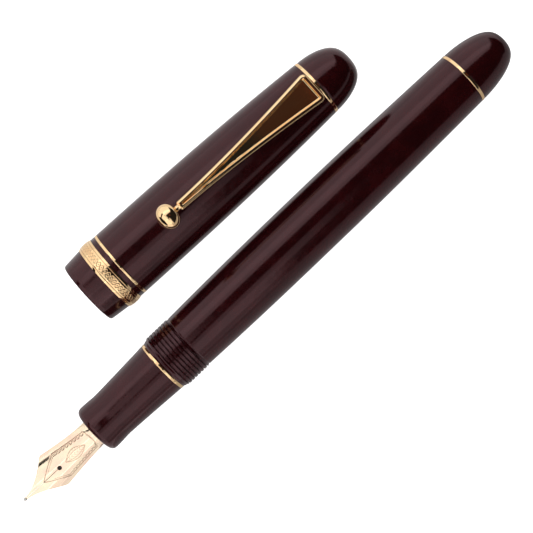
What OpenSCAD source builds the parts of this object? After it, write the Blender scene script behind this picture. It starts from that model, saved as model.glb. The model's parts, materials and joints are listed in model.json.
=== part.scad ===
// Cartridge and converter fountain pen with its screw cap taken off and laid beside it.
// The pen lies along X with its nib towards -X. The cap lies at +Y, clip up. Z = 0 is the table.
// Pen pieces are placed by their distance from the nib's tip, cap pieces by their distance from the lip.

/* [Pen] */
// Length of the open pen, from the nib's tip to the tail
pen_len = 133.5; // [130:0.5:140]
// Length of nib that shows in front of the grip section
nib_out = 19.8; // [18:0.1:21]
// Length of the grip section
grip_len = 18.6; // [17:0.1:20]
// Radius of the grip section at its flared front lip
grip_lip_r = 5.34; // [5.2:0.01:5.5]
// Radius of the grip section at its waist
grip_waist_r = 5.18; // [5:0.01:5.3]
// Radius of the grip section at its rear edge
grip_rear_r = 5.83; // [5.7:0.01:5.95]
// Width of the two gold rings on the pen
ring_w = 0.66; // [0.5:0.02:0.9]
// Largest radius of the barrel
belly_r = 6.53; // [6.45:0.01:6.8]
// Radius of the barrel just behind the cap threads
barrel_front_r = 6.15; // [6.05:0.01:6.25]
// Radius of the barrel at its tail ring
barrel_tail_r = 5.96; // [5.8:0.01:6.1]
// Length of the rounded tail cap
tail_len = 10.9; // [9:0.1:12]
// Radius over the cap threads
thread_r = 6.3; // [6.25:0.01:6.33]

/* [Cap] */
// Length of the cap, from lip to crown
cap_len = 70.4; // [69:0.1:73]
// Length of the lip in front of the wide band
lip_len = 4.5; // [3.5:0.1:5]
// Width of the wide band
band_w = 3.1; // [2.5:0.1:3.6]
// Radius over the wide band
band_r = 7.79; // [7.7:0.01:8]
// Largest radius of the cap's tube
cap_r_max = 7.54; // [7.5:0.01:7.6]
// Radius of the cap's tube at the crown ring
cap_r_min = 6.32; // [6.28:0.01:6.4]
// Length of the rounded crown
crown_len = 8.6; // [7.5:0.1:9.5]
// Bore of the cap at its mouth, as a radius
mouth_r = 6.5; // [6.45:0.01:6.55]
// Distance between the pen's axis and the cap's axis, side by side
cap_apart = 19.83; // [18:0.1:30]
// How far the cap's middle lies towards the tail from the pen's middle
cap_shift = 6.5; // [0:0.5:12]
// Turn of the cap from parallel to the pen, in degrees
cap_turn = -1.8; // [-4:0.1:4]

/* [Clip] */
// Width of the clip at its root
clip_root_w = 7; // [6:0.05:7.2]
// Width of the clip at its neck
clip_neck_w = 2; // [1.8:0.05:2.4]
// Thickness of the clip from its back to its rims
clip_t = 1.1; // [1:0.05:1.3]
// Width of the rims on each side of the clip's trough
clip_rim = 0.8; // [0.4:0.05:0.9]
// Distance from the cap's lip to the middle of the clip's ball
ball_s = 22.5; // [20:0.5:26]
// Radius of the ball along the cap
ball_r = 2.25; // [2:0.05:2.4]
// Half width of the ball across the cap
ball_half_w = 2.65; // [2.4:0.05:2.9]

/* [Nib] */
// Turn of the nib and feed about the pen's axis, in degrees
nib_roll = 12; // [0:1:20]
// Width of the nib across its shoulders
shoulder_w = 8.6; // [7.6:0.1:9]
// Distance from the nib's tip to its shoulders
shoulder_s = 7.9; // [7.5:0.1:10]
// Radius of the nib's heel, where it enters the grip section
heel_r = 3.1; // [3:0.05:3.2]
// Thickness of the nib
nib_t = 0.35; // [0.3:0.01:0.4]
// Distance from the nib's tip to its breather hole
breather_s = 9.9; // [9:0.1:10.5]
// Radius of the breather hole
breather_r = 0.48; // [0.3:0.01:0.6]

/* [Converter] */
// Radius of the converter's ink tube
ink_tube_r = 3.6; // [3.4:0.05:3.7]
// Stroke of the piston
stroke = 18; // [12:1:18]

/* [Hidden] */
$fn = 96;
resin = [0.17, 0.05, 0.06];
gold = [0.93, 0.7, 0.42];
fit = 0.02;          // gap between pieces that are pressed or screwed together
run = 0.05;          // gap between pieces that turn or slide in each other
over = 0.01;         // how far a cutting solid runs past a face
dome_flat = 1.8;     // how long the rounded ends stay near their full width
dome_blunt = 3.1;    // how blunt the rounded ends finish
dome_steps = 22;     // bands in a rounded end

// Stations along the pen, from the nib's tip
grip_end = nib_out + grip_len;
barrel_s = grip_end + ring_w;
thread_pitch = 0.82;
thread_count = 7;
thread_depth = 0.3;
groove_depth = 0.2;
thread_s = barrel_s + 1;
thread_end = thread_s + thread_count * thread_pitch;
belly_s0 = 75;
belly_s1 = 87;
tail_s = pen_len - tail_len;
tail_ring_s = tail_s - ring_w;
barrel_bore_r = 5;
barrel_floor_s = 114.5;
spigot_r = 3.6;

// Stations inside the front unit and the converter, from the nib's tip
nib_end_s = 30;
feed_tip_s = 5.4;
feed_end_s = 32;
nipple_r = 1.6;
nipple_bore_r = 0.9;
nipple_end_s = 37.5;
collar_s = 33;
collar_end_s = 47;
collar_bore_r = 4;
collar_seat_r = 4.6;
collar_thread_r = 4.92;
mouth_s = 34;
mouth_end_s = 42.5;
mouth_out_r = 3.7;
ink_bore_r = ink_tube_r - 0.5;
ink_tube_s = 41.5;
ink_tube_end_s = 84;
piston_s = mouth_end_s + 1.5 + stroke;
piston_head_len = 3;
piston_end_s = piston_s + 24;
piston_neck_r = 1.5;
piston_button_r = 2.2;
rod_r = 1.9;
screw_r = 1;
screw_s = piston_s + 4.5;
guide_s = piston_s + 3.6;
guide_land = 2.4;
sleeve_s = 80;
sleeve_end_s = 90;
knob_s = 90.4;
knob_end_s = 100.5;
knob_r = 3.5;
knob_flutes = 20;

// Stations along the cap, from its lip
band_s = lip_len;
band_end_s = band_s + band_w;
trim_s = band_end_s + 1;
trim_w = 0.58;
crown_s = cap_len - crown_len;
crown_ring_s = crown_s - ring_w;
lip_slope = 0.09;
lip_r = 7.06;
lip_spigot_r = 6.95;
lip_spigot_end_s = 9.5;
cap_thread_end_s = 16;
cap_thread_bore_r = 6.38;
cap_bore_r = 6.1;
liner_s = 36.1;
liner_end_s = 58.2;
liner_r = 5.4;
liner_bore_r = 4.7;
crown_spigot_s = 58.6;
crown_spigot_r = 4.5;
stud_r = 2;
stud_s = 56.8;
stud_end_s = 65.5;
cap_curve = 2.4;     // how late the cap's tube starts to narrow

// Clip, seen along the cap: heights are distances from the cap's axis
clip_root_s = 60.9;
clip_neck_s = 25.2;
clip_back_root = 7;
clip_back_neck = 9.1;
clip_curve = 1.6;
clip_steps = 16;
clip_trough = 0.55;
leg_w = 2.6;
leg_s = 59.2;
leg_len = 1.2;
leg_low = 5;
leg_play_w = 0.2;
leg_play_front = 0.45;
leg_play_back = 0.3;
neck_r = 0.55;
ball_gap = 0.1;
clip_pitch = atan((clip_back_neck - clip_back_root) / (clip_root_s - clip_neck_s));

// Nib: a shell cut from a cone whose axis dips towards the tip
cone_slope = 0.2;
nib_front_curve = 1.68;
nib_rear_curve = 1.6;
tip_top = 1.05;
tip_half_w = 0.28;
waist_half_w = 3.08;
cone_drop = heel_r - tip_top + cone_slope * nib_out;
cone_dip = atan(cone_drop / nib_out);
nib_lap = 0.3;       // how far the cone runs on over the nib's straight heel
heel_step = 0.05;    // how much smaller the heel is than the cone's end
slit_w = 0.06;
tip_r = 0.42;
feed_half_w = 2.15;
fin_gap = 0.28;
fin_pitch = 0.72;
fin_s = 10.2;
fin_count = 13;
fin_core = 1.1;

// Where the pen's axis and the cap's middle lie, so that the whole is centred and stands on Z = 0
cap_reach = cap_apart - (cap_len / 2 - band_s - band_w / 2) * sin(cap_turn) + band_r;
pen_y = (belly_r - cap_reach) / 2;
pen_z = belly_r;
cap_z = band_r;

// Outer radius of the barrel at a distance from the nib's tip
function barrel_r(s) =
    s < belly_s0 ? belly_r - (belly_r - barrel_front_r) * pow((belly_s0 - s) / (belly_s0 - thread_end), 2)
    : s <= belly_s1 ? belly_r
    : belly_r - (belly_r - barrel_tail_r) * pow((s - belly_s1) / (tail_ring_s - belly_s1), 1.5);

// Outer radius of the cap's tube at a distance from the lip
function cap_r(s) =
    cap_r_max - (cap_r_max - cap_r_min) * pow((s - trim_s) / (crown_ring_s - trim_s), cap_curve);

// Outer radius of the grip section behind its waist, u from 0 at the waist to 1 at the rear edge
function grip_r(u) = grip_waist_r + (grip_rear_r - grip_waist_r) * pow(u, 1.15);

// Outline of a rounded end of radius r from station s over length len
function dome(r, s, len) = [
    for (i = [0 : dome_steps - 1])
        let (u = sin(90 * i / dome_steps))
            [r * pow(1 - pow(u, dome_flat), 1 / dome_blunt), s + len * u]
];

// Outline of a run of thread ridges from station s
function ridges(s, count, crest, root) = [
    for (i = [0 : count - 1], k = [0 : 3])
        [k == 1 || k == 2 ? crest : root, s + thread_pitch * (i + [0.08, 0.36, 0.6, 0.88][k])]
];

// Half width of the clip, u from 0 at the neck to 1 at the root
function clip_half_w(u) = (clip_neck_w + (clip_root_w - clip_neck_w) * pow(u, clip_curve)) / 2;

// Half width of the nib at a distance from its tip, concave in front of the shoulders
function nib_half_w(s) =
    s < shoulder_s
    ? tip_half_w + (shoulder_w / 2 - tip_half_w) * pow(s / shoulder_s, nib_front_curve)
    : waist_half_w + (shoulder_w / 2 - waist_half_w) * pow((nib_out - s) / (nib_out - shoulder_s), nib_rear_curve);

// Places pen pieces: local Z runs from the tip to the tail and local X points up
module on_pen() {
    translate([-pen_len / 2, pen_y, pen_z]) rotate([0, 90, 0]) rotate([0, 0, 180]) children();
}

// Places cap pieces: local Z runs from the lip to the crown and local X points up
module on_cap() {
    translate([cap_shift, pen_y + cap_apart, cap_z]) rotate([0, 0, cap_turn])
        translate([-cap_len / 2, 0, 0]) rotate([0, 90, 0]) rotate([0, 0, 180]) children();
}

// Places the nib and feed, turned so that the nib's top leans away from the cap
module on_nib() {
    on_pen() rotate([0, 0, nib_roll]) children();
}

// A plain rod from station a to station b
module rod(r, a, b) {
    translate([0, 0, a]) cylinder(r = r, h = b - a);
}

// A hole of radius r from station a to station b, run past both ends
module hole(r, a, b) {
    rod(r, a - over, b + over);
}

module tube(r, bore, a, b) {
    difference() {
        rod(r, a, b);
        hole(bore, a, b);
    }
}

// A turned solid from outline points of radius and station
module turned(points) {
    first = points[0];
    last = points[len(points) - 1];
    rotate_extrude() polygon(concat([[0, first[1]]], points, [[0, last[1]]]));
}

// Thread grooves in a bore of radius r from station s
module grooves(r, s, count) {
    for (i = [0 : count - 1])
        rod(r + groove_depth, s + i * thread_pitch, s + (i + 0.5) * thread_pitch);
}

// A gold ring with a softly raised face
module trim_ring(r, bore, s, w, raise) {
    difference() {
        turned([[r - raise, s], [r, s + 0.2 * w], [r, s + 0.8 * w], [r - raise, s + w]]);
        hole(bore, s, s + w);
    }
}

module grip_section() {
    waist_s = nib_out + 5;
    lip_s = nib_out + 1.4;
    color(resin) on_pen() difference() {
        turned(concat(
            [for (a = [0 : 15 : 90]) [grip_lip_r - 0.85 + 0.85 * sin(a), nib_out + 1.1 - 1.1 * cos(a)]],
            [for (u = [0 : 0.2 : 1])
                [grip_lip_r - (grip_lip_r - grip_waist_r) * (1 - cos(180 * u)) / 2,
                 lip_s + (waist_s - lip_s) * u]],
            [for (u = [0.1 : 0.1 : 1]) [grip_r(u), waist_s + (grip_end - waist_s) * u]]
        ));
        hole(heel_r + 0.3, nib_out, nib_out + 2 * nib_lap);
        hole(heel_r + fit, nib_out, collar_s);
        hole(collar_seat_r + fit, collar_s, grip_end);
    }
}

// The cone whose shell the nib is, grown inward by inset
module nib_cone(inset) {
    reach = nib_out + 2;
    translate([0, 0, nib_out]) rotate([0, cone_dip, 0])
        turned([[heel_r - inset + cone_slope * reach, -reach], [heel_r - inset, 0], [heel_r - inset, 2]]);
}

module nib_outline() {
    steps = [for (i = [0 : 14]) nib_out * pow(i / 14, 0.9)];
    heel = [for (side = [1, -1]) [side * heel_r, nib_out + 1]];
    polygon(concat(
        [for (s = steps) [nib_half_w(s), s + tip_r]],
        heel,
        [for (i = [14 : -1 : 0]) [-nib_half_w(steps[i]), steps[i] + tip_r]]
    ));
}

// The upper half of a rod, which the nib's heel is cut from
module upper_half(r, a, b) {
    intersection() {
        rod(r, a, b);
        translate([0, -r - 1, a]) cube([r + 1, 2 * r + 2, b - a]);
    }
}

module nib() {
    color(gold) on_nib() difference() {
        union() {
            intersection() {
                difference() {
                    nib_cone(0);
                    nib_cone(nib_t);
                }
                translate([-2, 0, 0]) rotate([0, 0, 90]) rotate([90, 0, 0])
                    linear_extrude(height = 12, center = true) nib_outline();
                translate([0, 0, nib_out]) rotate([0, cone_dip, 0])
                    translate([0, -shoulder_w, -nib_out - 2]) cube([9, 2 * shoulder_w, nib_out + 4]);
                translate([-3, -shoulder_w, 0]) cube([9, 2 * shoulder_w, nib_out + nib_lap]);
            }
            difference() {
                upper_half(heel_r - heel_step, nib_out, nib_end_s);
                hole(heel_r - heel_step - nib_t, nib_out, nib_end_s);
            }
        }
        translate([0, -slit_w / 2, -1]) cube([8, slit_w, breather_s + 1]);
        translate([0, 0, breather_s]) rotate([0, 90, 0]) cylinder(r = breather_r, h = 8);
    }
}

module nib_tipping() {
    color([0.75, 0.74, 0.72]) on_nib() translate([tip_top - nib_t / 2, 0, tip_r]) sphere(r = tip_r);
}

// The feed seen from below, narrowing to a blunt nose
module feed_outline() {
    nose = [0.75, 1.15, 1.75, feed_half_w, feed_half_w];
    stations = [feed_tip_s, feed_tip_s + 1.2, feed_tip_s + 3.6, feed_tip_s + 6.4, nib_out + 1];
    polygon(concat(
        [for (i = [0 : 4]) [nose[i], stations[i]]],
        [for (i = [4 : -1 : 0]) [-nose[i], stations[i]]]
    ));
}

module feed() {
    color([0.06, 0.06, 0.06]) on_nib() difference() {
        union() {
            rod(heel_r, nib_out, feed_end_s);
            intersection() {
                rod(heel_r, feed_tip_s, nib_out + over);
                rotate([0, 0, 90]) rotate([90, 0, 0])
                    linear_extrude(height = 12, center = true) feed_outline();
                translate([-heel_r, 0, nib_out]) rotate([0, -12, 0]) translate([0, -5, -20])
                    cube([9, 10, 24]);
            }
        }
        translate([0, 0, -over]) difference() {
            upper_half(heel_r + 1, nib_out, nib_end_s + 2 * over);
            rod(heel_r - heel_step - nib_t - fit, nib_out - 1, feed_end_s);
        }
        difference() {
            translate([-1, -8, 0]) cube([12, 16, nib_out]);
            nib_cone(nib_t + fit);
        }
        for (i = [0 : fin_count - 1])
            translate([-heel_r - 1, -4, fin_s + i * fin_pitch]) cube([heel_r + 1 - fin_core, 8, fin_gap]);
        hole(nipple_bore_r, nib_end_s, feed_end_s);
    }
}

module ink_nipple() {
    color([0.2, 0.2, 0.22]) on_pen() difference() {
        union() {
            rod(heel_r, feed_end_s + fit, collar_s - fit);
            rod(nipple_r, feed_end_s + fit, nipple_end_s);
        }
        hole(nipple_bore_r, feed_end_s, nipple_end_s);
    }
}

module section_thread() {
    color([0.75, 0.6, 0.35]) on_pen() difference() {
        turned(concat(
            [[collar_seat_r, collar_s + fit], [collar_seat_r, barrel_s + 0.5]],
            ridges(barrel_s + 0.6, 8, collar_thread_r, collar_seat_r),
            [[collar_seat_r, collar_end_s]]
        ));
        hole(collar_bore_r, collar_s, collar_end_s);
    }
}

module section_ring() {
    color(gold) on_pen()
        trim_ring(grip_rear_r + 0.03, collar_thread_r + run, grip_end + fit, ring_w - 2 * fit, 0.06);
}

module barrel_tube() {
    color(resin) on_pen() difference() {
        turned(concat(
            [[grip_rear_r, barrel_s], [thread_r - thread_depth, barrel_s + 0.25]],
            ridges(thread_s, thread_count, thread_r, thread_r - thread_depth),
            [[barrel_front_r - 0.1, thread_end]],
            [for (i = [0 : 12])
                let (s = thread_end + 0.3 + (belly_s0 - thread_end - 0.3) * i / 12) [barrel_r(s), s]],
            [for (i = [0 : 14])
                let (s = belly_s1 + (tail_ring_s - belly_s1) * i / 14) [barrel_r(s), s]]
        ));
        hole(barrel_bore_r, barrel_s, barrel_floor_s);
        hole(spigot_r + fit, barrel_floor_s, tail_ring_s);
        grooves(barrel_bore_r, barrel_s + 0.6, 8);
    }
}

module tail_ring() {
    color(gold) on_pen()
        trim_ring(barrel_tail_r + 0.03, spigot_r + fit, tail_ring_s + fit, ring_w - 2 * fit, 0.06);
}

module tail_cap() {
    color(resin) on_pen() union() {
        turned(dome(barrel_tail_r - 0.03, tail_s, tail_len));
        rod(spigot_r, barrel_floor_s + 0.5, tail_s + over);
    }
}

module converter_mouth() {
    color([0.8, 0.8, 0.82]) on_pen() difference() {
        union() {
            rod(mouth_out_r, mouth_s, ink_tube_s - fit);
            rod(ink_bore_r - fit, mouth_s, mouth_end_s);
        }
        hole(nipple_r + run, mouth_s, nipple_end_s + 0.5);
        hole(nipple_bore_r, nipple_end_s, mouth_end_s);
    }
}

module ink_tube() {
    color([0.85, 0.88, 0.9, 0.5]) on_pen() tube(ink_tube_r, ink_bore_r, ink_tube_s, ink_tube_end_s);
}

module piston_guide() {
    color([0.92, 0.92, 0.9]) on_pen() difference() {
        rod(ink_bore_r - fit, guide_s, ink_tube_end_s);
        hole(rod_r + run, guide_s, guide_s + guide_land);
        hole(rod_r + 0.5, guide_s + guide_land, ink_tube_end_s);
    }
}

module converter_sleeve() {
    color([0.82, 0.82, 0.84]) on_pen() difference() {
        turned([[3.75, sleeve_s], [3.85, sleeve_s + 0.3], [3.85, sleeve_end_s - 0.4], [3.5, sleeve_end_s]]);
        hole(ink_tube_r + fit, sleeve_s, ink_tube_end_s + fit);
        hole(rod_r + 0.5, ink_tube_end_s, sleeve_end_s - 2);
        hole(screw_r + run, sleeve_end_s - 2, sleeve_end_s);
    }
}

module agitator_balls() {
    color([0.7, 0.7, 0.72]) on_pen() for (a = [0 : 90 : 270])
        rotate([0, 0, a]) translate([2.1, 0, mouth_end_s + 0.7]) sphere(r = 0.6);
}

module fill_knob() {
    color([0.05, 0.05, 0.05]) on_pen() difference() {
        turned([
            [2.6, knob_s], [knob_r - 0.4, knob_s + 0.5], [knob_r, knob_s + 1], [knob_r, knob_end_s - 0.8],
            [knob_r - 0.25, knob_end_s - 0.25], [knob_r - 0.8, knob_end_s]
        ]);
        for (i = [0 : knob_flutes - 1])
            rotate([0, 0, 360 * i / knob_flutes]) translate([knob_r + 0.12, 0, knob_s + 1.4])
                cylinder(r = 0.35, h = knob_end_s - knob_s - 2.6);
        hole(screw_r + fit, knob_s, knob_s + 4);
    }
}

module lead_screw() {
    color([0.85, 0.85, 0.86]) on_pen() turned(concat(
        [[screw_r - 0.3, screw_s]],
        [for (i = [0 : 17], k = [0 : 1]) [screw_r - 0.3 * (1 - k), screw_s + 0.3 + 1.2 * i + 0.5 * k]],
        [[screw_r, sleeve_end_s - 2], [screw_r, knob_s + 3.9]]
    ));
}

module piston_rod() {
    color([0.9, 0.9, 0.88]) on_pen() difference() {
        union() {
            rod(piston_button_r, piston_s + 0.3, piston_s + 0.6);
            rod(piston_neck_r, piston_s + 0.3, piston_s + piston_head_len);
            rod(rod_r, piston_s + piston_head_len, piston_end_s);
        }
        hole(screw_r + run, screw_s - 0.5, piston_end_s);
    }
}

module piston_seal() {
    seal_r = ink_bore_r - 0.03;
    color([0.15, 0.15, 0.16]) on_pen() difference() {
        turned([
            [seal_r - 0.6, piston_s], [seal_r, piston_s + 0.3], [seal_r, piston_s + 0.7],
            [seal_r - 0.4, piston_s + 1.1], [seal_r - 0.4, piston_s + 1.9],
            [seal_r, piston_s + 2.3], [seal_r, piston_s + 2.7],
            [seal_r - 0.3, piston_s + piston_head_len - fit]
        ]);
        hole(piston_button_r + fit, piston_s + 0.3 - fit, piston_s + 0.6 + fit);
        hole(piston_neck_r + fit, piston_s + 0.5, piston_s + piston_head_len);
    }
}

// Room for the clip's leg, with play for the clip's spring
module leg_slot() {
    translate([leg_low - 0.6, -leg_w / 2 - leg_play_w, leg_s - leg_play_front])
        cube([4, leg_w + 2 * leg_play_w, leg_len + leg_play_front + leg_play_back]);
}

module cap_lip() {
    color(resin) on_cap() difference() {
        union() {
            turned(concat(
                [for (a = [0 : 15 : 90]) [lip_r - 0.4 + 0.4 * sin(a), 0.4 - 0.4 * cos(a)]],
                [[lip_r + lip_slope * lip_len, lip_len]]
            ));
            rod(lip_spigot_r, lip_len - over, lip_spigot_end_s);
        }
        hole(mouth_r, 0, lip_spigot_end_s);
    }
}

module cap_band() {
    half = band_w / 2;
    color(gold) on_cap() difference() {
        turned([for (i = [-1 : 0.2 : 1])
            [band_r - 0.22 * pow(abs(i), 3), band_s + half + (half - fit) * i]]);
        hole(lip_spigot_r + fit, band_s, band_end_s);
    }
}

module cap_tube() {
    color(resin) on_cap() difference() {
        turned(concat(
            [[cap_r_max, band_end_s]],
            [for (i = [0 : 20]) let (s = trim_s + (crown_ring_s - trim_s) * i / 20) [cap_r(s), s]]
        ));
        difference() {
            rod(cap_r_max + 1, trim_s, trim_s + trim_w);
            hole(cap_r_max - 0.3, trim_s - 1, trim_s + 1);
        }
        hole(lip_spigot_r + fit, band_end_s, lip_spigot_end_s);
        hole(cap_thread_bore_r, lip_spigot_end_s, cap_thread_end_s);
        grooves(cap_thread_bore_r, lip_spigot_end_s + 0.4, 7);
        hole(cap_bore_r, cap_thread_end_s, liner_s);
        hole(liner_r + fit, liner_s, crown_spigot_s);
        hole(crown_spigot_r + fit, crown_spigot_s, crown_ring_s);
        leg_slot();
    }
}

module cap_trim_ring() {
    color(gold) on_cap()
        trim_ring(cap_r_max + 0.04, cap_r_max - 0.3 + fit, trim_s + fit, trim_w - 2 * fit, 0.05);
}

module inner_cap() {
    color([0.08, 0.08, 0.09]) on_cap() difference() {
        rod(liner_r, liner_s, liner_end_s);
        hole(liner_bore_r, liner_s, liner_end_s - 1.6);
        hole(stud_r + fit, liner_end_s - 1.6, liner_end_s);
    }
}

module crown_ring() {
    color(gold) on_cap()
        trim_ring(cap_r_min, crown_spigot_r + fit, crown_ring_s + fit, ring_w - 2 * fit, 0.06);
}

module crown_stud() {
    color([0.8, 0.65, 0.35]) on_cap() turned(concat(
        [[stud_r, stud_s], [stud_r, stud_s + 1.6]],
        [for (i = [0 : 7], k = [0 : 1]) [stud_r - 0.15 * k, stud_s + 1.9 + 0.8 * i + 0.3 * k]],
        [[stud_r, stud_end_s - 0.2], [stud_r - 0.2, stud_end_s]]
    ));
}

module crown() {
    color(resin) on_cap() difference() {
        union() {
            turned(dome(cap_r_min - 0.08, crown_s, crown_len));
            rod(crown_spigot_r, crown_spigot_s, crown_s + over);
        }
        hole(stud_r + fit, crown_spigot_s, stud_end_s + 0.1);
        leg_slot();
    }
}

// Outline of the clip or of its trough, drawn in from the clip's edges by inset
module clip_outline(inset) {
    reach = clip_root_s - clip_neck_s;
    steps = [for (i = [0 : clip_steps]) i / clip_steps];
    function along(u) = inset + (reach - 2 * inset) * u;
    function half(u) = clip_half_w(along(u) / reach) - inset;
    polygon(concat(
        [for (u = steps) [along(u), half(u)]],
        [for (i = [clip_steps : -1 : 0]) [along(steps[i]), -half(steps[i])]]
    ));
}

module clip() {
    color(gold) on_cap() union() {
        translate([clip_back_neck, 0, clip_neck_s]) rotate([0, -clip_pitch, 0])
            rotate([0, -90, 180]) difference() {
                linear_extrude(height = clip_t) clip_outline(0);
                translate([0, 0, clip_t - clip_trough]) linear_extrude(height = 1) clip_outline(clip_rim);
            }
        translate([leg_low, -leg_w / 2, leg_s]) cube([clip_back_root - leg_low + 0.4, leg_w, leg_len]);
        translate([clip_back_neck + 0.6, 0, ball_s + ball_r - 0.05])
            cylinder(r = neck_r, h = clip_neck_s - ball_s - ball_r + 0.4);
    }
}

module clip_ball() {
    ball_x = cap_r(ball_s) + ball_gap + ball_r;
    color(gold) on_cap() translate([ball_x, 0, ball_s]) rotate([90, 0, 0])
        turned([for (a = [-84 : 12 : 84]) [ball_r * cos(a), ball_half_w * sin(a)]]);
}

grip_section();
nib();
nib_tipping();
feed();
ink_nipple();
section_thread();
section_ring();
barrel_tube();
tail_ring();
tail_cap();
converter_mouth();
ink_tube();
piston_guide();
converter_sleeve();
agitator_balls();
fill_knob();
lead_screw();
piston_rod();
piston_seal();
cap_lip();
cap_band();
cap_tube();
cap_trim_ring();
inner_cap();
crown_ring();
crown_stud();
crown();
clip();
clip_ball();
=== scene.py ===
import json
import math

import bpy
from mathutils import Matrix, Vector


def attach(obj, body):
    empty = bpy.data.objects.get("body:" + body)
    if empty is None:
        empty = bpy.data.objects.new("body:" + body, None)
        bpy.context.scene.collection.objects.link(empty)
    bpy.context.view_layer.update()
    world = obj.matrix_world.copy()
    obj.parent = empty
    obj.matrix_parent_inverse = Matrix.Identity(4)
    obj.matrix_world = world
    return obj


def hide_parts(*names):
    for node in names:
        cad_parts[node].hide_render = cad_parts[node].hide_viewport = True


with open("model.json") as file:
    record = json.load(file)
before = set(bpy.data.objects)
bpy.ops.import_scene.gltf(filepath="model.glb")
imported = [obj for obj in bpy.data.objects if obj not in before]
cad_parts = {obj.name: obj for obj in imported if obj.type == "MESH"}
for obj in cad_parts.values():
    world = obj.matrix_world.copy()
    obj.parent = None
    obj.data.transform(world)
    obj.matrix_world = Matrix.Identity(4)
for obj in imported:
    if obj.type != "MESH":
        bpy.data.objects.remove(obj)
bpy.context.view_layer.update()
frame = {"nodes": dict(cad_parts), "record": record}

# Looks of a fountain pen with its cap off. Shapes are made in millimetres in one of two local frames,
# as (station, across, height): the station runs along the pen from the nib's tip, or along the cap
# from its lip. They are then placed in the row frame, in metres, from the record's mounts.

MM = 0.001
TURNS = 160                 # segments round a turned piece
MOUNTS = {mount["name"]: mount for mount in frame["record"]["mounts"]}
HOLD_S = 81.0               # station of the mount barrel_hold along the pen
MOUTH_S = 8.0               # station of the mount cap_mouth along the cap

# Sizes shared with the CAD, in millimetres
NIB_OUT, GRIP_END, BARREL_S = 19.8, 38.4, 39.06
THREAD_S, THREAD_END, THREAD_PITCH, THREAD_R, THREAD_DEPTH = 40.06, 45.8, 0.82, 6.3, 0.3
BELLY_S0, BELLY_S1, BELLY_R, FRONT_R, TAIL_R = 75.0, 87.0, 6.53, 6.15, 5.96
TAIL_RING_S, TAIL_S, TAIL_LEN = 121.94, 122.6, 10.9
GRIP_LIP_R, GRIP_WAIST_R, GRIP_REAR_R, NIB_BORE_R = 5.34, 5.18, 5.83, 3.12
CAP_R_MAX, CAP_R_MIN, BAND_S, BAND_END_S, BAND_R = 7.54, 6.32, 4.5, 7.6, 7.79
TRIM_S, TRIM_W, CROWN_RING_S, CROWN_S, CROWN_LEN = 8.6, 0.58, 61.14, 61.8, 8.6
LIP_R, LIP_SLOPE, MOUTH_R, FIT = 7.06, 0.09, 6.5, 0.02
NIB_ROLL, HEEL_R, NIB_T, SHOULDER_S, SHOULDER_HALF = 12.0, 3.1, 0.35, 7.9, 4.3
BREATHER_S, BREATHER_R, TIP_R, TIP_TOP, CONE_SLOPE = 9.9, 0.48, 0.42, 1.05, 0.2
CLIP_NECK_S, CLIP_ROOT_S, CLIP_BACK_NECK, CLIP_BACK_ROOT = 25.2, 60.9, 9.1, 7.0
CLIP_NECK_W, CLIP_ROOT_W, CLIP_T, BALL_S, BALL_R, BALL_HALF_W = 2.0, 7.0, 1.1, 22.5, 2.25, 2.65
COLLAR_S, COLLAR_BORE_R, BARREL_BORE_R = 33.0, 4.62, 5.0
SPIGOT_S, SPIGOT_R, SPIGOT_BORE_S = 115.0, 3.6, 114.5
CAP_THREAD_S, CAP_THREAD_END, CAP_THREAD_BORE_R, CAP_THREAD_CUT_R = 9.5, 16.0, 6.38, 6.58
LINER_R, LINER_S, CROWN_BORE_S, STUD_R = 6.1, 36.1, 58.6, 2.02


# ---------------------------------------------------------------- places

HOLD = Vector(MOUNTS["barrel_hold"]["pos_m"])
MOUTH = Vector(MOUNTS["cap_mouth"]["pos_m"])
CAP_ALONG = -Vector(MOUNTS["cap_mouth"]["axis"]).normalized()
CAP_ACROSS = Vector((0, 0, 1)).cross(CAP_ALONG)


def on_pen(s, y, h):
    return HOLD + MM * Vector((s - HOLD_S, y, h))


def on_nib(s, y, h):
    """The nib's own frame, whose top leans towards -Y."""
    a = math.radians(NIB_ROLL)
    return on_pen(s, y * math.cos(a) - h * math.sin(a), y * math.sin(a) + h * math.cos(a))


def on_cap(s, y, h):
    return MOUTH + MM * ((s - MOUTH_S) * CAP_ALONG + y * CAP_ACROSS + Vector((0, 0, h)))


# ---------------------------------------------------------------- outlines

def mix(a, b, t):
    return a + (b - a) * t


def span(a, b, count):
    """count + 1 values from a to b."""
    return [mix(a, b, i / count) for i in range(count + 1)]


def smooth(t):
    t = min(max(t, 0.0), 1.0)
    return t * t * (3 - 2 * t)


def barrel_r(s):
    if s < BELLY_S0:
        return BELLY_R - (BELLY_R - FRONT_R) * ((BELLY_S0 - s) / (BELLY_S0 - THREAD_END)) ** 2
    if s <= BELLY_S1:
        return BELLY_R
    return BELLY_R - (BELLY_R - TAIL_R) * ((s - BELLY_S1) / (TAIL_RING_S - BELLY_S1)) ** 1.5


def cap_r(s):
    t = max(s - TRIM_S, 0) / (CROWN_RING_S - TRIM_S)
    return CAP_R_MAX - (CAP_R_MAX - CAP_R_MIN) * t ** 2.4


def grip_r(s):
    lip_s, waist_s = NIB_OUT + 1.4, NIB_OUT + 5
    if s < waist_s:
        return mix(GRIP_LIP_R, GRIP_WAIST_R, (1 - math.cos(math.pi * (s - lip_s) / (waist_s - lip_s))) / 2)
    return GRIP_WAIST_R + (GRIP_REAR_R - GRIP_WAIST_R) * ((s - waist_s) / (GRIP_END - waist_s)) ** 1.15


def dome(r, s, length, steps=48):
    """A rounded end from station s, as (station, radius) points that finish on the axis."""
    points = []
    for i in range(steps):
        u = math.sin(math.pi / 2 * i / steps)
        points.append((s + length * u, r * (1 - u ** 1.8) ** (1 / 3.1)))
    return points + [(s + length, 0.0)]


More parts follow.
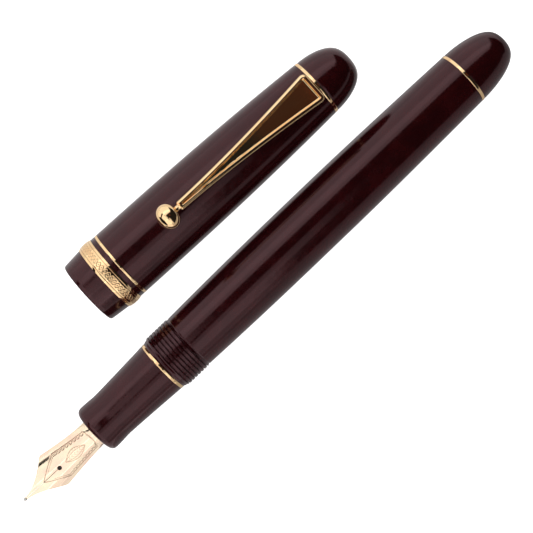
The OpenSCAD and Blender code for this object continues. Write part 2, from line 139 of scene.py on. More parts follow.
def round_corner(a, corner, b, r, steps=5):
    """Points that round off a corner between two straight runs, each as (station, radius)."""
    ends = []
    for other in (a, b):
        d = Vector(other) - Vector(corner)
        ends.append(Vector(corner) + d.normalized() * min(r, 0.45 * d.length))
    points = []
    for t in span(0, 1, steps):
        p = ends[0].lerp(Vector(corner), t).lerp(Vector(corner).lerp(ends[1], t), t)
        points.append((p.x, p.y))
    return points


def eased(points, r=0.08):
    """The same closed outline with every corner sharper than a shallow bend rounded off."""
    found = []
    for i, p in enumerate(points):
        a, b = points[i - 1], points[(i + 1) % len(points)]
        turn = (Vector(p) - Vector(a)).angle(Vector(b) - Vector(p), 0)
        if turn > math.radians(30) and p[1] > 0:
            found += round_corner(a, p, b, r)
        else:
            found.append(p)
    return found


# ---------------------------------------------------------------- meshes

def make_piece(name, verts, faces, body, material, place, nodes=(), sharp=38, marks=None):
    """A piece from points in a local frame. marks is a value per point, kept as the attribute engraved."""
    mesh = bpy.data.meshes.new(name)
    mesh.from_pydata([place(*v) for v in verts], [], faces)
    mesh.validate()
    if marks is not None:
        attribute = mesh.attributes.new("engraved", "FLOAT", "POINT")
        attribute.data.foreach_set("value", marks)
    mesh.update()
    mesh.shade_smooth()
    mesh.set_sharp_from_angle(angle=math.radians(sharp))
    piece = bpy.data.objects.new(name, mesh)
    bpy.context.scene.collection.objects.link(piece)
    mesh.materials.append(material)
    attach(piece, body)
    if nodes:
        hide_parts(*nodes)


def turned(outline, relief=None, turns=TURNS, closed=True):
    """Points and faces of a turned solid. outline holds (station, radius) points, in order with the solid
    on their right. It is a closed loop, or starts and ends on the axis. relief(s, angle, r) gives a point's
    change of radius and its engraved value."""
    verts, rings, marks = [], [], []
    for s, r in outline:
        if r <= 0:
            rings.append([len(verts)] * turns)
            verts.append((s, 0.0, 0.0))
            marks.append(0.0)
            continue
        ring = []
        for j in range(turns):
            a = 2 * math.pi * j / turns
            change, mark = relief(s, a, r) if relief else (0.0, 0.0)
            ring.append(len(verts))
            verts.append((s, (r + change) * math.sin(a), (r + change) * math.cos(a)))
            marks.append(mark)
        rings.append(ring)
    faces = []
    pairs = list(zip(rings, rings[1:]))
    if closed:
        pairs.append((rings[-1], rings[0]))
    for one, two in pairs:
        for j in range(turns):
            k = (j + 1) % turns
            face = []
            for v in (one[j], two[j], two[k], one[k]):
                if v not in face:
                    face.append(v)
            if len(face) > 2:
                faces.append(face)
    return verts, faces, marks


def turned_piece(name, outline, body, material, place, nodes=(), relief=None, turns=TURNS):
    closed = min(r for _, r in outline) > 0
    verts, faces, marks = turned(outline, relief, turns, closed)
    make_piece(name, verts, faces, body, material, place, nodes, marks=marks)


def loft(rows):
    """Points and faces of a solid through closed rows of points that all have the same count."""
    verts = [v for row in rows for v in row]
    n = len(rows[0])
    faces = []
    for i in range(len(rows) - 1):
        for j in range(n):
            k = (j + 1) % n
            faces.append([i * n + j, i * n + k, (i + 1) * n + k, (i + 1) * n + j])
    faces.append(list(range(n))[::-1])
    faces.append([(len(rows) - 1) * n + j for j in range(n)])
    return verts, faces


# ---------------------------------------------------------------- materials

def shader(name, **values):
    """A node material with its Principled shader's constant inputs set.
    Returns the material, its node tree and the shader."""
    material = bpy.data.materials.new(name)
    material.use_nodes = True
    tree = material.node_tree
    principled = tree.nodes["Principled BSDF"]
    for key, value in values.items():
        principled.inputs[key.replace("_", " ")].default_value = value
    return material, tree, principled


def object_noise(tree, scale, detail=3.0, stretch=(1, 1, 1), roughness=0.5):
    """Noise in the row frame, in noise cells a metre, stretched along the pen by stretch[0] < 1."""
    coords = tree.nodes.new("ShaderNodeTexCoord")
    mapping = tree.nodes.new("ShaderNodeMapping")
    mapping.inputs["Scale"].default_value = stretch
    noise = tree.nodes.new("ShaderNodeTexNoise")
    noise.inputs["Scale"].default_value = scale
    noise.inputs["Detail"].default_value = detail
    noise.inputs["Roughness"].default_value = roughness
    tree.links.new(coords.outputs["Object"], mapping.inputs["Vector"])
    tree.links.new(mapping.outputs["Vector"], noise.inputs["Vector"])
    return noise.outputs["Fac"]


def to_range(tree, value, low, high, new_low, new_high):
    node = tree.nodes.new("ShaderNodeMapRange")
    for key, number in (("From Min", low), ("From Max", high), ("To Min", new_low), ("To Max", new_high)):
        node.inputs[key].default_value = number
    tree.links.new(value, node.inputs["Value"])
    return node.outputs["Result"]


def add(tree, one, two):
    node = tree.nodes.new("ShaderNodeMath")
    node.operation = "ADD"
    tree.links.new(one, node.inputs[0])
    tree.links.new(two, node.inputs[1])
    return node.outputs[0]


def mix_colour(tree, factor, one, two):
    """A colour between one and two, each a colour or a socket."""
    node = tree.nodes.new("ShaderNodeMix")
    node.data_type = "RGBA"
    tree.links.new(factor, node.inputs["Factor"])
    for key, value in (("A", one), ("B", two)):
        socket = [i for i in node.inputs if i.name == key and i.type == "RGBA"][0]
        if hasattr(value, "links"):
            tree.links.new(value, socket)
        else:
            socket.default_value = value
    return [o for o in node.outputs if o.type == "RGBA"][0]


def bump(tree, principled, height, distance):
    node = tree.nodes.new("ShaderNodeBump")
    node.inputs["Strength"].default_value = 1.0
    node.inputs["Distance"].default_value = distance
    tree.links.new(height, node.inputs["Height"])
    tree.links.new(node.outputs["Normal"], principled.inputs["Normal"])


def polished_resin():
    """Deep burgundy resin: cloudy colour under the surface, polish haze and hairline scratches."""
    material, tree, principled = shader(
        "burgundy_resin", IOR=1.5, Specular_IOR_Level=0.58, Subsurface_Weight=0.12, Subsurface_Scale=0.0012)
    principled.inputs["Subsurface Radius"].default_value = (1.0, 0.16, 0.14)
    principled.inputs["Specular Tint"].default_value = (1.0, 0.60, 0.64, 1)
    cloud = to_range(tree, object_noise(tree, 260, 4), 0.35, 0.65, 0, 1)
    colour = mix_colour(tree, cloud, (0.017, 0.0015, 0.0021, 1), (0.028, 0.0025, 0.0032, 1))
    tree.links.new(colour, principled.inputs["Base Color"])
    haze = to_range(tree, object_noise(tree, 700, 3), 0.3, 0.7, 0.10, 0.17)
    scratch = to_range(tree, object_noise(tree, 9000, 2, (0.04, 1, 1)), 0.66, 0.74, 0, 0.09)
    tree.links.new(add(tree, haze, scratch), principled.inputs["Roughness"])
    bump(tree, principled, object_noise(tree, 1500, 3), 0.000004)
    return material


def polished_gold(name, light, deep, low_rough=0.07, high_rough=0.15, engraved=None):
    """Gold with a slow drift of tone, fine polishing lines and, where cut, darker engraved lines."""
    material, tree, principled = shader(name, Metallic=1.0)
    tone = to_range(tree, object_noise(tree, 380, 3), 0.35, 0.65, 0, 1)
    colour = mix_colour(tree, tone, light, deep)
    rough = to_range(tree, object_noise(tree, 5000, 3, (0.12, 1, 1)), 0.3, 0.7, low_rough, high_rough)
    if engraved:
        mark = tree.nodes.new("ShaderNodeAttribute")
        mark.attribute_name = "engraved"
        colour = mix_colour(tree, mark.outputs["Fac"], colour, engraved)
        rough = add(tree, rough, to_range(tree, mark.outputs["Fac"], 0, 1, 0, 0.35))
    tree.links.new(colour, principled.inputs["Base Color"])
    tree.links.new(rough, principled.inputs["Roughness"])
    bump(tree, principled, object_noise(tree, 2600, 3), 0.000003)
    return material


def moulded(name, one, two, low_rough, high_rough, grain=3000, depth=0.00001, **values):
    """Moulded plastic or rubber: two close tones, uneven gloss and a fine grain."""
    material, tree, principled = shader(name, **values)
    tone = to_range(tree, object_noise(tree, 400, 3), 0.35, 0.65, 0, 1)
    tree.links.new(mix_colour(tree, tone, one, two), principled.inputs["Base Color"])
    rough = to_range(tree, object_noise(tree, 1400, 3), 0.3, 0.7, low_rough, high_rough)
    tree.links.new(rough, principled.inputs["Roughness"])
    bump(tree, principled, object_noise(tree, grain, 3), depth)
    return material


def turned_metal(name, one, two, low_rough, high_rough):
    """Metal with fine rings left by turning."""
    material, tree, principled = shader(name, Metallic=1.0)
    tone = to_range(tree, object_noise(tree, 500, 3), 0.3, 0.7, 0, 1)
    tree.links.new(mix_colour(tree, tone, one, two), principled.inputs["Base Color"])
    lines = object_noise(tree, 14000, 2, (1, 0.02, 0.02))
    tree.links.new(to_range(tree, lines, 0.3, 0.7, low_rough, high_rough), principled.inputs["Roughness"])
    bump(tree, principled, lines, 0.000006)
    return material


RESIN = polished_resin()
GOLD = polished_gold("gold_plate", (0.98, 0.71, 0.40, 1), (0.96, 0.63, 0.34, 1), 0.03, 0.08,
                     engraved=(0.55, 0.28, 0.12, 1))
NIB_GOLD = polished_gold("nib_rose_gold", (0.98, 0.82, 0.60, 1), (0.96, 0.70, 0.54, 1), 0.07, 0.15,
                         engraved=(0.42, 0.20, 0.12, 1))
TIPPING = turned_metal("tipping_alloy", (0.72, 0.70, 0.66, 1), (0.60, 0.58, 0.56, 1), 0.18, 0.32)
FEED = moulded("feed_plastic_black", (0.012, 0.012, 0.013, 1), (0.02, 0.02, 0.021, 1), 0.38, 0.55)
BRASS = turned_metal("turned_brass", (0.80, 0.58, 0.27, 1), (0.72, 0.50, 0.22, 1), 0.16, 0.30)
CHROME = turned_metal("plated_metal", (0.83, 0.83, 0.84, 1), (0.76, 0.77, 0.79, 1), 0.08, 0.2)
CLEAR = moulded("clear_tube", (0.93, 0.96, 0.97, 1), (0.88, 0.93, 0.95, 1), 0.03, 0.10,
                Transmission_Weight=0.92, IOR=1.49)
WHITE = moulded("white_moulding", (0.78, 0.78, 0.75, 1), (0.70, 0.70, 0.67, 1), 0.30, 0.42)
BLACK = moulded("black_moulding", (0.014, 0.014, 0.016, 1), (0.022, 0.022, 0.025, 1), 0.22, 0.34)
RUBBER = moulded("seal_rubber", (0.02, 0.02, 0.022, 1), (0.03, 0.03, 0.032, 1), 0.5, 0.65)


# ---------------------------------------------------------------- the pen

def ring_outline(s0, s1, r, bore, raise_by):
    """A ring whose face is softly raised."""
    s0, s1 = s0 + FIT, s1 - FIT
    face = []
    for degrees in range(0, 181, 12):
        a = math.radians(degrees)
        face.append((mix(s0, s1, 0.5 - 0.5 * math.cos(a)), r - raise_by + raise_by * math.sin(a) ** 0.6))
    return face + [(s1, bore), (s0, bore)]


def rounded_edge(s, r, length, drop):
    """The rounded outer edge of a front face at station s: it rises by drop to r over its length."""
    angles = [math.radians(a) for a in range(0, 91, 6)]
    return [(s + length - length * math.cos(a), r - drop + drop * math.sin(a)) for a in angles]


def make_grip():
    lip = rounded_edge(NIB_OUT, GRIP_LIP_R, 1.1, 0.85)
    outer = lip + [(s, grip_r(s)) for s in span(NIB_OUT + 1.4, GRIP_END - 0.06, 60)]
    inner = [(GRIP_END, COLLAR_BORE_R), (COLLAR_S, COLLAR_BORE_R), (COLLAR_S, NIB_BORE_R),
             (NIB_OUT + 0.6, NIB_BORE_R), (NIB_OUT + 0.6, HEEL_R + 0.3), (NIB_OUT, HEEL_R + 0.3)]
    outline = outer + [(GRIP_END, GRIP_REAR_R - 0.06)] + eased(inner, 0.05)
    turned_piece("grip_resin", outline, "front_unit", RESIN, on_pen, ["grip_section"])
    turned_piece("section_ring_gold", ring_outline(GRIP_END, BARREL_S, 5.86, 4.97, 0.07), "trim_ring", GOLD,
                 on_pen, ["section_ring"])


def thread_relief(s, angle, r):
    """The cap thread's ridge winds round the barrel's front and fades at both ends."""
    if r < 5.5 or not BARREL_S + 0.5 < s < THREAD_END + 0.2:
        return 0.0, 0.0
    turns = (s - THREAD_S) / THREAD_PITCH - angle / (2 * math.pi)
    wave = abs(2 * (turns - math.floor(turns)) - 1)
    fade = smooth((s - BARREL_S - 0.5) / 0.7) * smooth((THREAD_END + 0.2 - s) / 0.6)
    return THREAD_DEPTH * smooth((wave - 0.05) / 0.34) * fade, 0.0


def make_barrel():
    root_r = THREAD_R - THREAD_DEPTH
    front = [(BARREL_S, GRIP_REAR_R - 0.05), (BARREL_S + 0.05, GRIP_REAR_R)]
    front += [(s, mix(GRIP_REAR_R, root_r, smooth((s - BARREL_S) / 0.4)))
              for s in span(BARREL_S + 0.1, BARREL_S + 0.44, 5)]
    thread = [(s, root_r) for s in span(BARREL_S + 0.5, THREAD_END, 170)]
    shoulder = [(s, mix(root_r, barrel_r(s), smooth((s - THREAD_END) / 0.35)))
                for s in span(THREAD_END + 0.06, THREAD_END + 0.4, 7)]
    body = [(s, barrel_r(s)) for s in span(THREAD_END + 0.8, TAIL_RING_S - 0.05, 110)]
    spigot_hole = SPIGOT_R + FIT
    bore = [(TAIL_RING_S, spigot_hole), (SPIGOT_BORE_S, spigot_hole), (SPIGOT_BORE_S, BARREL_BORE_R),
            (BARREL_S, BARREL_BORE_R)]
    outline = front + thread + shoulder + body + [(TAIL_RING_S, TAIL_R - 0.05)] + eased(bore, 0.05)
    turned_piece("barrel_resin", outline, "barrel", RESIN, on_pen, ["barrel_tube"],
                 thread_relief, 192)
    turned_piece("tail_ring_gold", ring_outline(TAIL_RING_S, TAIL_S, 5.99, spigot_hole, 0.07), "barrel", GOLD,
                 on_pen, ["tail_ring"])
    tail = [(SPIGOT_S, 0.0), (SPIGOT_S, SPIGOT_R), (TAIL_S, SPIGOT_R), (TAIL_S, 5.88)]
    tail += dome(TAIL_R - 0.03, TAIL_S, TAIL_LEN)[1:]
    turned_piece("tail_resin", tail, "barrel", RESIN, on_pen, ["tail_cap"])


# ---------------------------------------------------------------- the nib

CONE_DIP = math.atan((HEEL_R - TIP_TOP + CONE_SLOPE * NIB_OUT) / NIB_OUT)


def nib_half(s):
    """Half width of the nib at a distance behind its tip's end, with softly rounded shoulders."""
    s -= TIP_R
    front = 0.28 + (SHOULDER_HALF - 0.28) * (max(s, 0) / SHOULDER_S) ** 1.68
    rear = 3.08 + (SHOULDER_HALF - 3.08) * (max(NIB_OUT - s, 0) / (NIB_OUT - SHOULDER_S)) ** 1.6
    return min(front, rear) - 0.14 * math.log(1 + math.exp(-abs(front - rear) / 0.14))


def nib_point(s, y, inset):
    """A point of the nib's cone at station s and y across, and inset under its outer face."""
    if s > NIB_OUT:
        outer_r = HEEL_R - 0.05
        r = outer_r - inset
        y *= r / outer_r
        return s, y, math.sqrt(r * r - y * y)
    y *= 1 - inset / HEEL_R
    sin, cos = math.sin(CONE_DIP), math.cos(CONE_DIP)
    t = 0.0
    for _ in range(12):
        r = HEEL_R + CONE_SLOPE * max(-t, 0) - inset
        x = math.sqrt(max(r * r - y * y, 0.0))
        t = (s - NIB_OUT + x * sin) / cos
    return s, y, x * cos + t * sin


def groove(distance, half=0.1):
    """How deep an engraved line is at a distance from its middle, from 0 to 1."""
    return max(0.0, 1 - (abs(distance) / half) ** 1.5)


def nib_border(s):
    """The engraved border's distance from the slit: a V in front, then along the nib's sides."""
    side = nib_half(s) - 1.0
    return min(3.0 * max((s - 5.6) / 4.9, 0) ** 0.9, side) if s > 5.6 else -1.0


def nib_engraving(s, y):
    """Plain ornament: a double border with scallops, a leaf behind the breather hole, a closing bracket."""
    y = abs(y)
    border = nib_border(s)
    marks = []
    if 5.6 < s < 18.3:
        marks.append(groove(y - border))
    if 11.4 < s < 18.1:
        scallop = 0.26 + 0.22 * abs(math.sin(math.pi * (s - 11.4) / 0.95))
        marks.append(0.9 * groove(y - border + scallop, 0.09))
    if 7.6 < s < 11.4:
        marks.append(0.7 * groove(y - border + 0.42, 0.08))
    if y < border + 0.05:
        marks.append(groove(s - 18.3 - 0.5 * math.cos(math.pi / 2 * y / 2.05)))
    if 11.6 < s < 16.9:
        leaf = math.sin(math.pi * (s - 11.6) / 5.3)
        marks.append(0.9 * groove(y - 1.15 * leaf, 0.09))
        marks.append(0.7 * groove(y - 0.62 * leaf, 0.08))
        if y < 1.1 * leaf:
            marks.append(0.5 * groove(math.sin(math.pi * (s - 1.1 * y) / 0.7) * 0.22, 0.07))
    return max(marks + [0.0])


def make_nib():
    hole = [BREATHER_S + BREATHER_R * math.cos(math.pi * i / 20) for i in range(20, -1, -1)]
    front = [0.12 + (hole[0] - 0.12) * (i / 110) ** 1.05 for i in range(110)]
    rear = span(hole[-1], 30.0, 150)[1:]
    stations = front + hole + rear
    columns, verts, marks = 44, [], []
    slit = 0.05

    def inner_edge(s):
        if abs(s - BREATHER_S) <= BREATHER_R:
            opening = math.sqrt(max(BREATHER_R ** 2 - (s - BREATHER_S) ** 2, 0))
            return max(opening, slit if s < BREATHER_S else 0.0)
        return slit if s < BREATHER_S else 0.0

    def add_point(s, y, inset, mark=0.0):
        verts.append(nib_point(s, y, inset))
        marks.append(mark)
        return len(verts) - 1

    rows = {}
    for i, s in enumerate(stations):
        shared = inner_edge(s) == 0.0
        for side in (1, -1):
            half = min(nib_half(s), 3.02 if s > NIB_OUT else 9.0)
            r = HEEL_R + CONE_SLOPE * max(NIB_OUT - s, 0) * 1.1
            angle_in = math.asin(inner_edge(s) / r)
            angle_out = math.asin(min(half / r, 0.985))
            thick = NIB_T * mix(0.75, 1.0, smooth(s / 6))
            top, under = [], []
            for j in range(columns + 1):
                share = j / columns
                if j == 0 and shared and side == -1:
                    top.append(rows[i, 1][0][0])
                    under.append(rows[i, 1][1][0])
                    continue
                y = r * math.sin(mix(angle_in, angle_out, share))
                cut = nib_engraving(s, y)
                edge = 0.06 * smooth((share - 0.955) / 0.045)
                top.append(add_point(s, side * y, 0.035 * cut + edge, cut))
                under.append(add_point(s, side * y, thick - edge))
            rows[i, side] = (top, under)

    faces = []
    for i in range(len(stations) - 1):
        for side in (1, -1):
            (top, under), (top2, under2) = rows[i, side], rows[i + 1, side]
            quads = []
            for j in range(columns):
                quads.append([top[j], top[j + 1], top2[j + 1], top2[j]])
                quads.append([under[j], under2[j], under2[j + 1], under[j + 1]])
            quads.append([top[-1], under[-1], under2[-1], top2[-1]])
            if not (inner_edge(stations[i]) == 0.0 and inner_edge(stations[i + 1]) == 0.0):
                quads.append([top[0], top2[0], under2[0], under[0]])
            faces += quads if side == 1 else [q[::-1] for q in quads]
    for i in (0, len(stations) - 1):
        for side in (1, -1):
            top, under = rows[i, side]
            quads = [[top[j], under[j], under[j + 1], top[j + 1]] for j in range(columns)]
            faces += quads if (side == 1) == (i == 0) else [q[::-1] for q in quads]
    clean = []
    for f in faces:
        face = []
        for v in reversed(f):
            if v not in face:
                face.append(v)
        if len(face) > 2:
            clean.append(face)
    make_piece("nib_plate", verts, clean, "front_unit", NIB_GOLD, on_nib, ["nib"], 40, marks)

    bead = []
    for i in range(25):
        a = math.pi * i / 24
        bead.append((TIP_R - TIP_R * math.cos(a), 0.0 if i in (0, 24) else TIP_R * math.sin(a)))

    def on_tip(s, y, h):
        return on_nib(s, y, h + TIP_TOP - NIB_T / 2)
    turned_piece("tipping_bead", bead, "front_unit", TIPPING, on_tip, ["nib_tipping"],
                 turns=40)


# ---------------------------------------------------------------- the cap

BAND_WAVES = 26


def band_relief(s, angle, r):
    """Two fine border lines with a plaited wave between them, cut into the wide band."""
    if r < BAND_R - 0.4:
        return 0.0, 0.0
    middle = (BAND_S + BAND_END_S) / 2
    across = s - middle
    borders = groove(abs(across) - 1.02, 0.09)
    wave = 0.52 * math.sin(BAND_WAVES * angle)
    plait = max(groove(across - wave, 0.12), groove(across + wave, 0.12))
    dots = groove(math.hypot(across, 0.28 * math.cos(BAND_WAVES * angle)), 0.14)
    cut = max(borders, plait, dots)
    return -0.05 * cut, cut


def make_cap():
    lip = rounded_edge(0.0, LIP_R, 0.4, 0.4)
    lip += [(s, LIP_R + LIP_SLOPE * s) for s in span(0.6, BAND_S - 0.05, 12)] + [(BAND_S, 7.36)]
    inside = [(BAND_S, 6.95), (CAP_THREAD_S, 6.95), (CAP_THREAD_S, MOUTH_R), (0.12, MOUTH_R),
              (0.0, MOUTH_R + 0.06)]
    turned_piece("cap_lip_resin", lip + inside, "cap", RESIN, on_cap, ["cap_lip"], turns=192)

    middle, half = (BAND_S + BAND_END_S) / 2, (BAND_END_S - BAND_S) / 2 - FIT
    band = [(middle + half * i, BAND_R - 0.22 * abs(i) ** 3) for i in span(-1, 1, 52)]
    band += [(BAND_END_S - FIT, 6.97), (BAND_S + FIT, 6.97)]
    turned_piece("cap_band_gold", band, "cap", GOLD, on_cap, ["cap_band"], band_relief, 1040)

    outer = [(BAND_END_S, CAP_R_MAX - 0.05), (BAND_END_S + 0.05, CAP_R_MAX)]
    outer += [(s, CAP_R_MAX) for s in span(BAND_END_S + 0.3, TRIM_S - 0.05, 3)]
    outer += [(TRIM_S, CAP_R_MAX - 0.05), (TRIM_S, CAP_R_MAX - 0.3), (TRIM_S + TRIM_W, CAP_R_MAX - 0.3),
              (TRIM_S + TRIM_W, CAP_R_MAX - 0.05)]
    outer += [(s, cap_r(s)) for s in span(TRIM_S + TRIM_W + 0.05, CROWN_RING_S - 0.05, 110)]
    outer += [(CROWN_RING_S, CAP_R_MIN - 0.05)]
    grooves = []
    for i in range(7):
        s = CAP_THREAD_S + 0.4 + THREAD_PITCH * i
        grooves = [(s + 0.5, CAP_THREAD_BORE_R), (s + 0.41, CAP_THREAD_CUT_R), (s, CAP_THREAD_CUT_R),
                   (s - 0.09, CAP_THREAD_BORE_R)] + grooves
    bore = [(CROWN_RING_S, 4.52), (CROWN_BORE_S, 4.52), (CROWN_BORE_S, 5.42), (LINER_S, 5.42),
            (LINER_S, LINER_R), (CAP_THREAD_END, LINER_R), (CAP_THREAD_END, CAP_THREAD_BORE_R)]
    bore += [(s, r) for s, r in grooves if CAP_THREAD_S < s < CAP_THREAD_END]
    bore += [(CAP_THREAD_S, CAP_THREAD_BORE_R), (CAP_THREAD_S, 6.97), (BAND_END_S, 6.97)]
    turned_piece("cap_tube_resin", outer + bore, "cap", RESIN, on_cap, ["cap_tube"], turns=192)

    turned_piece("cap_trim_gold", ring_outline(TRIM_S, TRIM_S + TRIM_W, 7.58, 7.26, 0.06), "cap", GOLD,
                 on_cap, ["cap_trim_ring"], turns=192)
    turned_piece("crown_ring_gold", ring_outline(CROWN_RING_S, CROWN_S, CAP_R_MIN, 4.52, 0.07), "cap", GOLD,
                 on_cap, ["crown_ring"])
    crown = [(65.6, 0.0), (65.6, STUD_R), (CROWN_BORE_S, STUD_R), (CROWN_BORE_S, 4.5), (CROWN_S, 4.5),
             (CROWN_S, 6.16)]
    crown += dome(CAP_R_MIN - 0.08, CROWN_S, CROWN_LEN)[1:]
    turned_piece("crown_resin", crown, "cap", RESIN, on_cap, ["crown"])


# ---------------------------------------------------------------- the clip

CLIP_CORNER, CLIP_RIM, CLIP_ROUND, CLIP_TROUGH = 1.15, 0.85, 0.55, 0.55


def clip_half(s):
    u = (s - CLIP_NECK_S) / (CLIP_ROOT_S - CLIP_NECK_S)
    return (CLIP_NECK_W + (CLIP_ROOT_W - CLIP_NECK_W) * max(u, 0) ** 1.6) / 2


def clip_shape(s):
    """Half width with the root's corners and the neck's end rounded off."""
    half = clip_half(s)
    back = s - (CLIP_ROOT_S - CLIP_CORNER)
    if back > 0:
        half -= CLIP_CORNER - math.sqrt(max(CLIP_CORNER ** 2 - back ** 2, 0))
    front = (CLIP_NECK_S + 0.8) - s
    if front > 0:
        half *= math.sqrt(max(1 - (front / 0.8) ** 2 * 0.75, 0.0))
    return half


def clip_depth(s, y):
    """How far the trough's face lies under the rims at a point, with rounded rims."""
    half = clip_half(s)
    back = s - (CLIP_ROOT_S - CLIP_CORNER)
    side = abs(y) - (half - CLIP_CORNER)
    if back > 0 and side > 0:
        inward = CLIP_CORNER - math.hypot(back, side)
    else:
        inward = min(half - abs(y), CLIP_ROOT_S - s)
    inward = min(inward, (s - CLIP_NECK_S) * 0.8)
    if inward < CLIP_ROUND:
        return CLIP_ROUND - math.sqrt(max(CLIP_ROUND ** 2 - (CLIP_ROUND - max(inward, 0)) ** 2, 0))
    return CLIP_TROUGH * smooth((inward - CLIP_RIM + 0.1) / 0.3)


# Distances in from the clip's edge where its face has points, close together over the rim
CLIP_STEPS = (0, 0.02, 0.06, 0.12, 0.2, 0.29, 0.39, 0.5, 0.62, 0.72, 0.78, 0.84, 0.9, 0.96, 1.02, 1.1, 1.25)


def make_clip():
    count = 150
    rows = []
    for i in range(count + 1):
        t = i / count
        s = CLIP_NECK_S + (CLIP_ROOT_S - CLIP_NECK_S) * (0.5 - 0.5 * math.cos(math.pi * t))
        half = max(clip_shape(s), 0.02)
        back = mix(CLIP_BACK_NECK, CLIP_BACK_ROOT, (s - CLIP_NECK_S) / (CLIP_ROOT_S - CLIP_NECK_S))
        rim = [d * min(1, half / 1.7) for d in CLIP_STEPS]
        side = [half - d for d in rim] + span(half - rim[-1], 0, 7)[1:]
        row = [(s, y, back + CLIP_T - clip_depth(s, y)) for y in [-y for y in side] + side[-2::-1]]
        for y, lift in ((1, 0.32), (0.985, 0.12), (0.93, 0.02), (0.5, 0), (0, 0), (-0.5, 0), (-0.93, 0.02),
                        (-0.985, 0.12), (-1, 0.32)):
            row.append((s, half * y, back + lift))
        rows.append(row)
    verts, faces = loft(rows[::-1])
    make_piece("clip_spring", verts, faces, "clip", GOLD, on_cap, ["clip"], 50)

    ball_h = cap_r(BALL_S) + 0.1 + BALL_R
    ball = []
    for i in range(49):
        a = math.pi * i / 48
        ball.append((-BALL_HALF_W * math.cos(a), 0.0 if i in (0, 48) else BALL_R * math.sin(a)))

    def on_ball(across, a, b):
        return on_cap(BALL_S - a, across, ball_h + b)
    turned_piece("clip_bead", ball, "clip", GOLD, on_ball, ["clip_ball"], turns=96)

    stem = []
    for s in span(BALL_S + BALL_R - 0.35, CLIP_NECK_S + 0.6, 16):
        away = min(s - BALL_S - BALL_R + 0.35, CLIP_NECK_S + 0.6 - s)
        stem.append((s, 0.56 + 0.3 * math.exp(-away / 0.22)))
    stem = [(stem[0][0], 0.0)] + stem + [(stem[-1][0], 0.0)]

    def on_stem(s, y, h):
        return on_cap(s, y, h + CLIP_BACK_NECK + 0.6)
    turned_piece("clip_stem", stem, "clip", GOLD, on_stem, turns=48)

    leg = []
    for h in span(5.0, CLIP_BACK_ROOT + 0.5, 12):
        flare = 0.35 * smooth((h - 6.4) / 1.1)
        row = []
        for k in range(32):
            a = 2 * math.pi * k / 32
            c, d = math.cos(a), math.sin(a)
            row.append((59.8 + (0.6 + flare) * math.copysign(abs(c) ** 0.45, c),
                        (1.3 + flare) * math.copysign(abs(d) ** 0.45, d), h))
        leg.append(row)
    verts, faces = loft(leg)
    make_piece("clip_leg", verts, faces, "clip", GOLD, on_cap, sharp=40)


make_grip()
make_barrel()
make_nib()
make_cap()
make_clip()

# ---------------------------------------------------------------- finish on the CAD's own pieces

CAD_LOOKS = {
    "feed": (FEED, "feed_plastic"), "ink_nipple": (FEED, "feed_plastic"),
    "section_thread": (BRASS, "collar_brass"), "crown_stud": (BRASS, "collar_brass"),
    "converter_mouth": (CHROME, "converter_metal"), "converter_sleeve": (CHROME, "converter_metal"),
    "agitator_balls": (CHROME, "converter_metal"), "lead_screw": (CHROME, "converter_metal"),
    "ink_tube": (CLEAR, "clear_plastic"), "piston_guide": (WHITE, "white_plastic"),
    "piston_rod": (WHITE, "white_plastic"), "fill_knob": (BLACK, "black_plastic"),
    "inner_cap": (BLACK, "black_plastic"), "piston_seal": (RUBBER, "seal_rubber"),
}
for node_name, (look, slot_name) in CAD_LOOKS.items():
    piece = frame["nodes"][node_name]
    piece.data.materials.clear()
    piece.data.materials.append(look)
    if node_name == "agitator_balls":
        continue            # round all over, with no edge to soften
    edge = piece.modifiers.new("soft_edges", "BEVEL")
    edge.width = 0.06 * MM
    edge.segments = 2
    edge.limit_method = "ANGLE"
    edge.angle_limit = math.radians(40)
    edge.harden_normals = False


# ---------------------------------------------------------------- floor, light and camera

AXIS_Z = 0.007              # height that the lights and the camera aim at


def make_sheet(name, x_range, y_range, height, base, glow):
    """A white sheet of the studio floor with its own glow."""
    mesh = bpy.data.meshes.new(name)
    corners = [(x_range[i], y_range[j], height) for i, j in ((0, 0), (1, 0), (1, 1), (0, 1))]
    mesh.from_pydata(corners, [], [(0, 1, 2, 3)])
    sheet = bpy.data.objects.new(name, mesh)
    bpy.context.scene.collection.objects.link(sheet)
    material, _, principled = shader(name + "_white", Roughness=0.9, Emission_Strength=glow)
    principled.inputs["Base Color"].default_value = (base, base, base, 1)
    principled.inputs["Emission Color"].default_value = (1, 1, 1, 1)
    principled.inputs["Specular IOR Level"].default_value = 0.0
    mesh.materials.append(material)
    return sheet


def make_floor():
    """The floor that is seen, and sheets just under it that only mirror in the polished faces."""
    floor = make_sheet("studio_floor", (-3, 3), (-3, 3), 0.0, 0.9, 1.0)
    floor.visible_glossy = False
    mirrored = (("floor_mirrored_nib", (-3, -0.05), (-3, 0), 0.9),
                ("floor_mirrored_near", (-0.05, 3), (-3, 0), 0.42),
                ("floor_mirrored_far", (-3, 3), (0, 3), 0.85))
    for name, x_range, y_range, glow in mirrored:
        sheet = make_sheet(name, x_range, y_range, -0.0005, 0.0, glow)
        sheet.visible_camera = False
        sheet.visible_diffuse = False
        sheet.visible_shadow = False
        sheet.visible_transmission = False


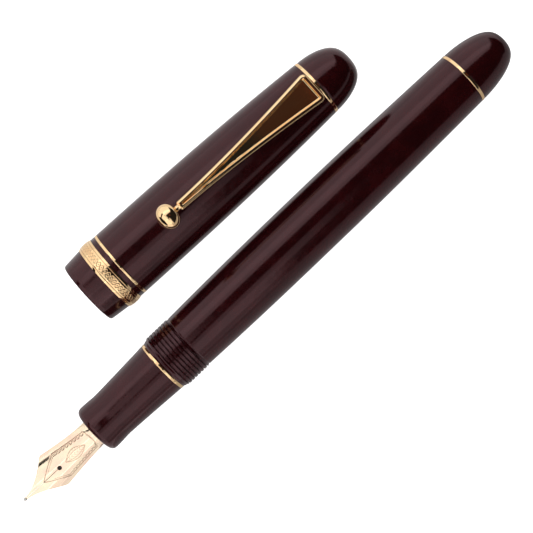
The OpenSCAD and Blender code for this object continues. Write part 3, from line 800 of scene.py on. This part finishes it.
def soft_box(name, angles, reach_x, radiance, tint=(1, 1, 1), distance=0.6):
    """A light that runs along the pen. angles are measured from straight up towards +Y, in degrees."""
    middle, half = math.radians(sum(angles) / 2), math.radians((angles[1] - angles[0]) / 2)
    data = bpy.data.lights.new(name, "AREA")
    data.shape = "RECTANGLE"
    data.size, data.size_y = reach_x[1] - reach_x[0], 2 * distance * math.tan(half)
    data.energy = radiance * math.pi * data.size * data.size_y
    data.color = tint
    lamp = bpy.data.objects.new(name, data)
    spot = Matrix.Rotation(-middle, 4, "X")
    spot.translation = (sum(reach_x) / 2, distance * math.sin(middle), AXIS_Z + distance * math.cos(middle))
    lamp.matrix_world = spot
    lamp.visible_camera = False
    bpy.context.scene.collection.objects.link(lamp)


def make_light():
    soft_box("key_box", (16, 100), (-0.2, 0.9), 1.05)
    soft_box("key_core", (28, 48), (-0.2, 0.9), 0.38, distance=0.59)
    soft_box("nib_upper", (52, 100), (-0.9, -0.2), 1.1)
    soft_box("nib_overhead", (-14, 38), (-0.9, -0.2), 1.15)
    soft_box("nib_front", (-60, -12), (-0.9, -0.2), 1.2)
    soft_box("nib_low", (-100, -58), (-0.9, -0.2), 1.0)
    soft_box("overhead_front", (-8, 17), (-0.2, -0.085), 0.7)
    soft_box("front_wide", (-76, -14), (-0.2, 0.0), 0.65)
    soft_box("front_core", (-58, -27), (-0.2, 0.0), 0.42, distance=0.59)
    soft_box("front_fade", (-38, -14), (0.0, 0.05), 0.5)
    soft_box("low_strip", (-104, -74), (-0.2, 0.9), 0.36)
    soft_box("overhead_amber", (-8, 8), (0.165, 0.32), 0.085, (1.0, 0.17, 0.02))
    soft_box("amber_fade", (-8, 8), (0.12, 0.165), 0.028, (1.0, 0.25, 0.04))
    world = bpy.data.worlds.new("studio_air")
    world.use_nodes = True
    bpy.context.scene.world = world
    tree = world.node_tree
    path = tree.nodes.new("ShaderNodeLightPath")
    strength = to_range(tree, path.outputs["Is Camera Ray"], 0, 1, 0.015, 1.0)
    tree.nodes["Background"].inputs["Color"].default_value = (1, 1, 1, 1)
    tree.links.new(strength, tree.nodes["Background"].inputs["Strength"])


VIEW_WIDTH = 0.1071         # width that the camera sees at the pens' axes
VIEW_HEIGHT = 0.300
VIEW_TURN = -43.77


def make_camera():
    data = bpy.data.cameras.new("camera")
    data.sensor_width = 36
    data.lens = 36 * VIEW_HEIGHT / VIEW_WIDTH
    data.clip_start, data.clip_end = 0.01, 20
    camera = bpy.data.objects.new("camera", data)
    camera.location = (0.00087, HOLD.y + 0.00004, AXIS_Z + VIEW_HEIGHT)
    camera.rotation_euler = (0, 0, math.radians(VIEW_TURN))
    bpy.context.scene.collection.objects.link(camera)
    bpy.context.scene.camera = camera


make_floor()
make_light()
make_camera()
bpy.context.scene.view_settings.view_transform = "Standard"
